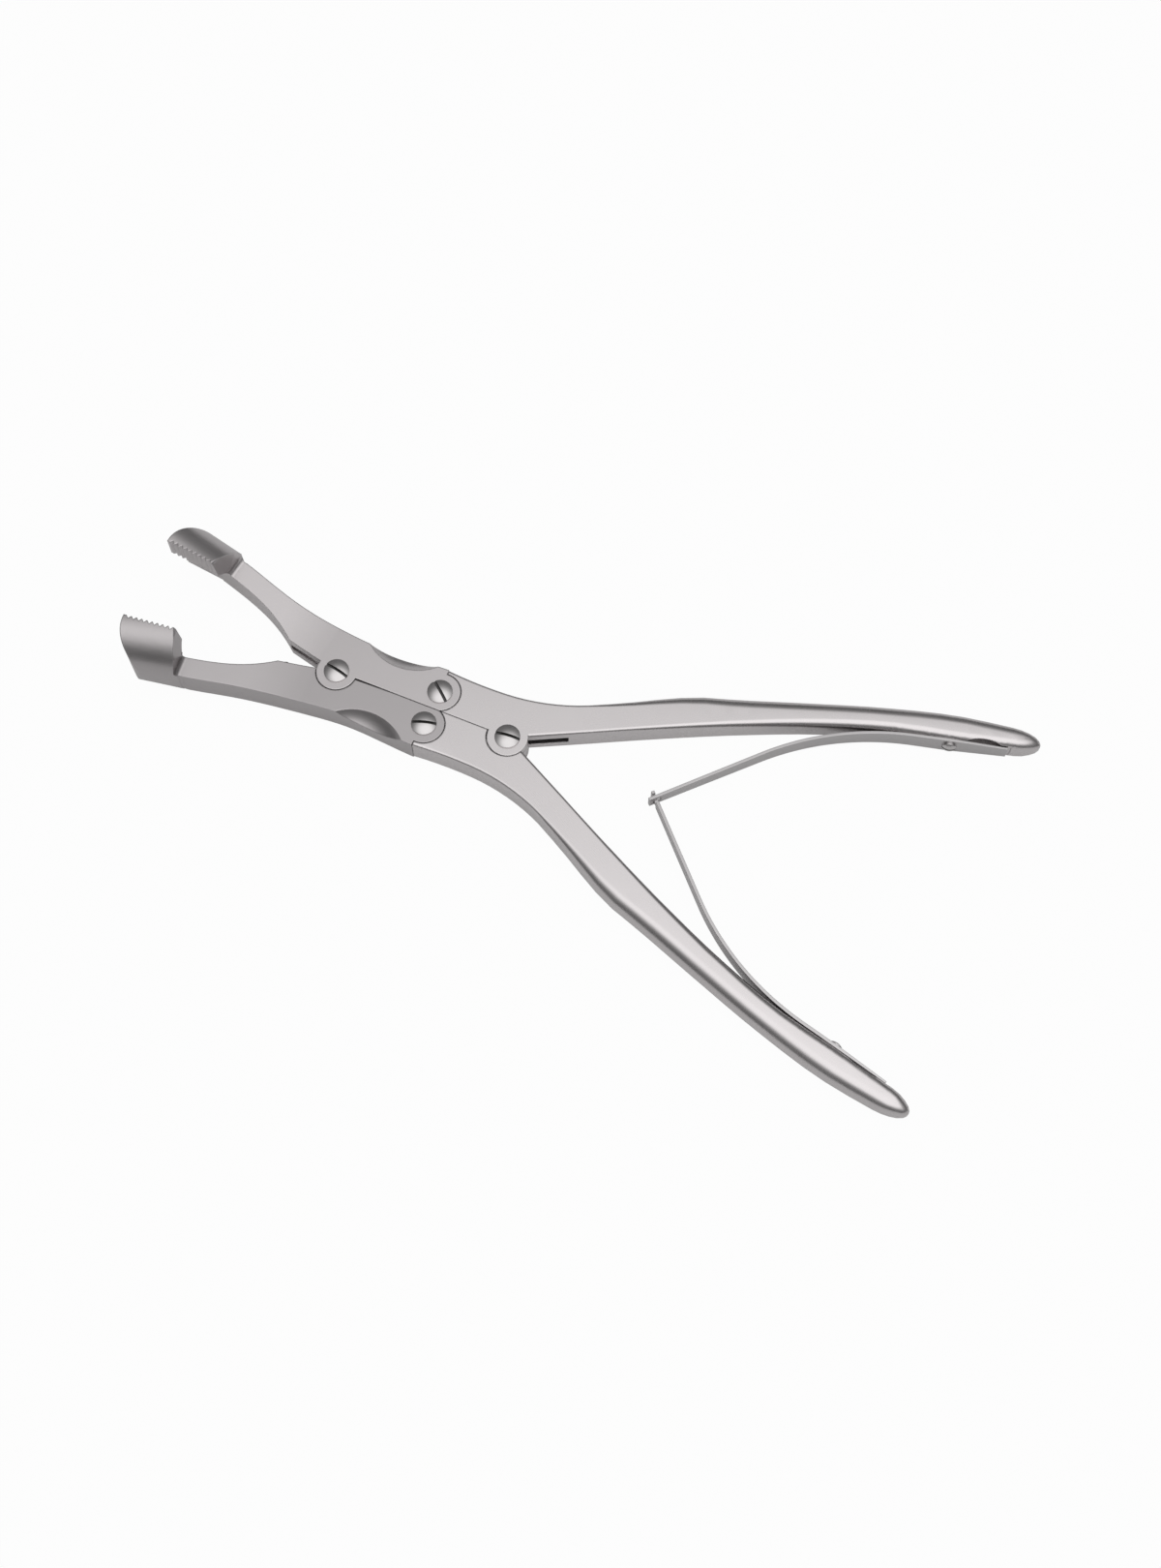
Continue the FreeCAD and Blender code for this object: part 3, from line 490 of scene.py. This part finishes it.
# %% Pivot screws
PIVOT_SLOT = 0.85 * MM
PIVOT_RIM = 0.5 * MM
PIVOT_SHANK = 2.4 * MM
PIVOT_SCREWS = {  # The body that carries each screw, and the way its slot points, in degrees.
    "jaw_pivot_screw": ("upper_jaw", -10.2),
    "upper_link_screw": ("upper_jaw", -38.7),
    "lower_link_screw": ("lower_jaw", 18.0),
    "handle_pivot_screw": ("upper_handle", 5.8),
}
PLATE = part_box("upper_handle")[1][2]
for name, (body, slot_turn) in PIVOT_SCREWS.items():
    low, high = (Vector(corner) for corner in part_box(name))
    middle = (low + high) / 2
    head = (high.x - low.x) / 2
    seat = (middle.x, middle.y, PLATE)
    turn = (0.0, 0.0, math.radians(slot_turn))
    piece = make_piece("domed_" + name, screw_rule, {
        "Head radius": head, "Dome rise": high.z - PLATE - PIVOT_RIM, "Rim": PIVOT_RIM,
        "Shank radius": PIVOT_SHANK, "Shank length": PLATE, "Slot width": PIVOT_SLOT,
        "Slot floor": 0.1 * MM, "Place": seat, "Turn": turn,
    }, name, round_edge=0.07)
    paint_slot_shade(piece, seat, turn, PIVOT_SLOT)
    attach(piece, body)
    print(piece.name, len(piece.data.polygons), "faces, head", round(head / MM, 2), "mm")

# %% [markdown]
# ## Crossed leaf springs
# Each leaf is a strip of spring steel: flat where it is screwed down, bowed over a long
# curve, then straight to its tip. A drawn mesh would do, but the tree builds the strip from
# many even stations. The tree walks along the strip and turns each station by an angle that
# grows only over the bow. One leaf gets a window near its tip, the other a neck that lies in
# the window and a T-shaped end that locks it.


# %% The leaf tree
STATIONS = 150
ROWS_AROUND = 20
SQUARENESS = 0.16  # The power that squares the section off: 1 would leave an ellipse.
HEEL_NARROWER, HEEL_THINNER = 0.25, 0.35
WINDOW_AHEAD = 0.75  # How far window and neck reach towards the tip, as shares of half the gap.
NECK_AHEAD = 0.6
CUT_ACROSS = 6.0 * MM


def leaf_tree(material, windowed):
    length = "NodeSocketFloat"
    tree, shop, size = new_tree("windowed leaf" if windowed else "necked leaf", {
        "Heel": length, "Bow start": length, "Bow radius": length, "Bow turn": length,
        "Total length": length, "Thickness": length, "Root width": length,
        "Tip width": length, "Crossing": length, "Gap length": length, "Neck": length,
        "Place": "NodeSocketVector", "Turn": "NodeSocketVector",
    })
    grid, column, angle = ring_grid(shop, STATIONS, ROWS_AROUND)
    walked = (column - 1.0).maths("MAXIMUM", 0.0).maths("MINIMUM", STATIONS - 3.0)
    along = walked * (1 / (STATIONS - 3)) * (size["Total length"] + size["Heel"]) - size["Heel"]
    body = (column > 0.5) * (column < STATIONS - 1.5)

    # Rounded section: a squared-off ellipse, wide in z and thin across the strip.
    def squared(wave):
        return wave.maths("SIGN") * wave.maths("ABSOLUTE").maths("POWER", SQUARENESS)

    share = (along / size["Total length"]).maths("MAXIMUM", 0.0)
    heel_share = (along / size["Heel"] * -1.0).maths("MAXIMUM", 0.0)
    width = size["Root width"] + (size["Tip width"] - size["Root width"]) * share
    width = width - heel_share * size["Root width"] * HEEL_NARROWER
    thickness = size["Thickness"] * (1.0 - heel_share * HEEL_THINNER)
    across = body * squared(angle.maths("SINE")) * thickness * 0.5
    upright = body * squared(angle.maths("COSINE")) * width * 0.5

    turned = ((along - size["Bow start"]) / size["Bow radius"]).maths("MAXIMUM", 0.0)
    turned = turned.maths("MINIMUM", size["Bow turn"])
    rest = along - size["Bow start"] - size["Bow radius"] * size["Bow turn"]
    rest = rest.maths("MAXIMUM", 0.0)
    lead = along.maths("MINIMUM", size["Bow start"])
    sine, cosine = turned.maths("SINE"), turned.maths("COSINE")
    x = lead + size["Bow radius"] * sine + rest * cosine - across * sine
    y = size["Bow radius"] * (1.0 - cosine) + rest * sine + across * cosine
    bent = shop.add("GeometryNodeSetPosition", None, Geometry=grid.outputs[0],
                    Position=shop.vector(x, y, upright))
    skin = shop.add("GeometryNodeMergeByDistance", None, Geometry=bent.outputs[0],
                    Distance=MERGE)

    # Boxes across the straight tip, at the crossing.
    def tip_box(start, end, low, high):
        box = shop.add("GeometryNodeMeshCube", None,
                       Size=shop.vector(end - start, CUT_ACROSS, high - low))
        turn, radius = size["Bow turn"], size["Bow radius"]
        tip_sine, tip_cosine = turn.maths("SINE"), turn.maths("COSINE")
        reach = size["Crossing"] + (start + end) * 0.5 - size["Bow start"] - radius * turn
        box_x = size["Bow start"] + radius * tip_sine + reach * tip_cosine
        box_y = radius * (1.0 - tip_cosine) + reach * tip_sine
        moved = shop.add("GeometryNodeTransform", None, Geometry=box.outputs[0],
                         Translation=shop.vector(box_x, box_y, (low + high) * 0.5),
                         Rotation=shop.vector(0.0, 0.0, turn))
        return moved.outputs[0]

    gap, neck, tall = size["Gap length"] * 0.5, size["Neck"] * 0.5, size["Root width"]
    if windowed:
        cutters = [tip_box(gap * -1.0, gap * WINDOW_AHEAD, neck * -1.0, neck)]
    else:
        cutters = [tip_box(gap * -1.0, gap * NECK_AHEAD, neck, tall),
                   tip_box(gap * -1.0, gap * NECK_AHEAD, tall * -1.0, neck * -1.0)]
    boxes = shop.add("GeometryNodeJoinGeometry")
    for cutter in cutters:
        tree.links.new(cutter, boxes.inputs[0])
    shaped = shop.add("GeometryNodeMeshBoolean", {"operation": "DIFFERENCE", "solver": "EXACT"},
                      in_0=skin.outputs[0], in_1=boxes.outputs[0])
    placed = shop.add("GeometryNodeTransform", None, Geometry=shaped.outputs[0],
                      Translation=size["Place"], Rotation=size["Turn"])
    finish_tree(shop, placed.outputs[0], material)
    return tree


print("leaf stations:", STATIONS, "rows around:", ROWS_AROUND)

# %% [markdown]
# Both leaves have the same sizes. Where they cross follows from where they are screwed down,
# from the angle at the root and from the bow, so it is worked out and not typed in.

# %% Make both leaves
SCREW_PLACE = Vector((118.0, 49.3, 4.1)) * MM
ROOT_ANGLE = math.radians(14.2)
BOW_TURN = math.radians(32.1)
BOW_RADIUS = 81.0 * MM
VERTEX = 33.9 * MM
TIP_OVER = 1.9 * MM
tangent = BOW_RADIUS * math.tan(BOW_TURN / 2)
bow_start = VERTEX - tangent
past_vertex = (SCREW_PLACE.y - VERTEX * math.sin(ROOT_ANGLE)) / math.sin(ROOT_ANGLE + BOW_TURN)
crossing = bow_start + BOW_RADIUS * BOW_TURN + past_vertex - tangent
LEAVES = {  # Which side of the middle, whether it has the window, and the opening or neck in mm.
    "upper": (1, True, 2.2),
    "lower": (-1, False, 1.7),
}
for half, (side, windowed, neck) in LEAVES.items():
    turn = (0.0, 0.0, math.pi + ROOT_ANGLE) if side > 0 else (math.pi, 0.0, math.pi - ROOT_ANGLE)
    root = (SCREW_PLACE.x, side * SCREW_PLACE.y, SCREW_PLACE.z)
    leaf = make_piece("bowed_" + half + "_leaf", leaf_tree(leaf_finish, windowed), {
        "Heel": 16.5 * MM, "Bow start": bow_start, "Bow radius": BOW_RADIUS,
        "Bow turn": BOW_TURN, "Total length": crossing + TIP_OVER, "Thickness": 1.0 * MM,
        "Root width": 6.4 * MM, "Tip width": 4.2 * MM, "Crossing": crossing,
        "Gap length": 3.5 * MM, "Neck": neck * MM, "Place": root, "Turn": turn,
    }, half + "_leaf_spring")
    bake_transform(leaf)
    low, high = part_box(half + "_leaf_spring")
    print(leaf.name, "solid box", [round(v / MM, 1) for v in (*low, *high)],
          "mesh box", [round(v / MM, 1) for v in (*leaf.bound_box[0], *leaf.bound_box[6])])

# %% [markdown]
# Two small screws of the same form hold the leaves. Each lies on its side: its shank goes
# square through the leaf into the handle, so its axis turns with the root of the leaf.

# %% Spring screws
LEAF_FACE = 0.45 * MM
SPRING_SLOT = 0.5 * MM
for half, (side, *_) in LEAVES.items():
    outwards = Vector((math.sin(ROOT_ANGLE), -side * math.cos(ROOT_ANGLE), 0.0))
    seat = Vector((SCREW_PLACE.x, side * SCREW_PLACE.y, SCREW_PLACE.z)) + outwards * LEAF_FACE
    turn = (side * math.pi / 2, 0.0, side * ROOT_ANGLE)
    piece = make_piece("domed_" + half + "_spring_screw", screw_rule, {
        "Head radius": 2.1 * MM, "Dome rise": 0.8 * MM, "Rim": 0.6 * MM,
        "Shank radius": 1.25 * MM, "Shank length": 4.9 * MM, "Slot width": SPRING_SLOT,
        "Slot floor": 0.45 * MM, "Place": tuple(seat), "Turn": turn,
    }, half + "_spring_screw", round_edge=0.05)
    paint_slot_shade(piece, seat, turn, SPRING_SLOT)
    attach(piece, half + "_handle")

# %% [markdown]
# ## Stage and light
# The instrument lies on a plain white sheet. More light would make the sheet white, but it
# would burn out the steel, so the sheet shows its own white to the camera and stays an
# ordinary pale floor for the light, which keeps the shadow. The steel mirrors it more dimly.

# %% Floor
FLOOR_DROP = 0.02 * MM
FLOOR_REACH = 6.0
SEEN_WHITE = 0.965
MIRRORED_WHITE = 0.20
SHEET_GREY = 0.70
floor_mesh = bpy.data.meshes.new("sheet")
corners = [(x * FLOOR_REACH, y * FLOOR_REACH, -FLOOR_DROP)
           for x, y in ((-1, -1), (1, -1), (1, 1), (-1, 1))]
floor_mesh.from_pydata(corners, [], [(0, 1, 2, 3)])
floor = bpy.data.objects.new("sheet", floor_mesh)
bpy.context.collection.objects.link(floor)
paper = bpy.data.materials.new("white_sheet")
paper.use_nodes = True
paper.node_tree.nodes.clear()
shop = Workshop(paper.node_tree)
ray = shop.add("ShaderNodeLightPath")
seen = shop.out(ray, "Is Camera Ray") * SEEN_WHITE
mirror_ray = shop.out(ray, "Is Glossy Ray") + shop.out(ray, "Is Transmission Ray")
mirrored = mirror_ray * MIRRORED_WHITE
plain = shop.add("ShaderNodeBsdfDiffuse", None, Color=(*[SHEET_GREY] * 3, 1.0))
white = shop.add("ShaderNodeEmission", None, Color=(1.0, 1.0, 1.0, 1.0), Strength=1.0)
mixed = shop.add("ShaderNodeMixShader", None, in_0=(seen + mirrored).maths("MINIMUM", 1.0),
                 in_1=plain.outputs[0], in_2=white.outputs[0])
shop.add("ShaderNodeOutputMaterial", None, Surface=mixed.outputs[0])
floor_mesh.materials.append(paper)
print("floor", 2 * FLOOR_REACH, "m wide")

# %% [markdown]
# Steel shows what is round it. Strip lamps are one way, but each screw head then mirrors
# every strip as a star. Here the sky itself does the work: it is bright overhead and dark
# towards the horizon, so flat tops come out pale and the sides and rounded edges dark. How
# near a direction is to the bright middle is its dot product, and a ramp turns it to grey.

# %% Sky
SKY_CENTRE = (0.12, -0.08, 0.99)
SKY_STEPS = ((0.0, 0.12), (0.50, 0.17), (0.62, 0.27), (0.72, 0.46), (0.79, 0.76), (0.83, 0.95),
             (0.88, 1.04), (1.0, 1.04))
SKY_STRENGTH = 1.07
world = bpy.data.worlds.new("studio")
bpy.context.scene.world = world
world.use_nodes = True
world.node_tree.nodes.clear()
shop = Workshop(world.node_tree)
way = shop.out(shop.add("ShaderNodeTexCoord"), "Generated")
brightest = tuple(Vector(SKY_CENTRE).normalized())
towards = shop.add("ShaderNodeVectorMath", {"operation": "DOT_PRODUCT"}, in_0=way, in_1=brightest)
sky = shop.add("ShaderNodeValToRGB", None, Fac=shop.out(towards, "Value").maths("MAXIMUM", 0.0))
ramp = sky.color_ramp
while len(ramp.elements) > 1:
    ramp.elements.remove(ramp.elements[-1])
ramp.elements[0].position = 0.0
ramp.elements[0].color = (*[SKY_STEPS[0][1]] * 3, 1.0)
for position, grey in SKY_STEPS[1:]:
    ramp.elements.new(position).color = (grey, grey, grey, 1.0)
camera_ray = shop.out(shop.add("ShaderNodeLightPath"), "Is Camera Ray")
shown = shop.add("ShaderNodeBackground", None, Color=(1.0, 1.0, 1.0, 1.0), Strength=1.0)
lit = shop.add("ShaderNodeBackground", None, Color=sky.outputs[0], Strength=SKY_STRENGTH)
both = shop.add("ShaderNodeMixShader", None, in_0=camera_ray, in_1=lit.outputs[0],
                in_2=shown.outputs[0])
shop.add("ShaderNodeOutputWorld", None, Surface=both.outputs[0])
bpy.context.scene.view_settings.view_transform = "Standard"
print("sky greys:", [grey for _, grey in SKY_STEPS])

# %% [markdown]
# One large soft lamp above the table adds a little direction and grounds the shadow.

# %% Soft lamp
LAMP_PLACE = Vector((0.20, -0.20, 1.05))
LAMP_SIDE = 1.1
LAMP_WATTS = 0.9
lamp_data = bpy.data.lights.new("overhead", "AREA")
lamp_data.shape = "RECTANGLE"
lamp_data.size = LAMP_SIDE
lamp_data.size_y = LAMP_SIDE
lamp_data.energy = LAMP_WATTS
lamp = bpy.data.objects.new("overhead", lamp_data)
bpy.context.collection.objects.link(lamp)
lamp.location = LAMP_PLACE
lamp.rotation_euler = (-LAMP_PLACE).to_track_quat("-Z", "Y").to_euler()
print("lamps:", len(bpy.data.lights))
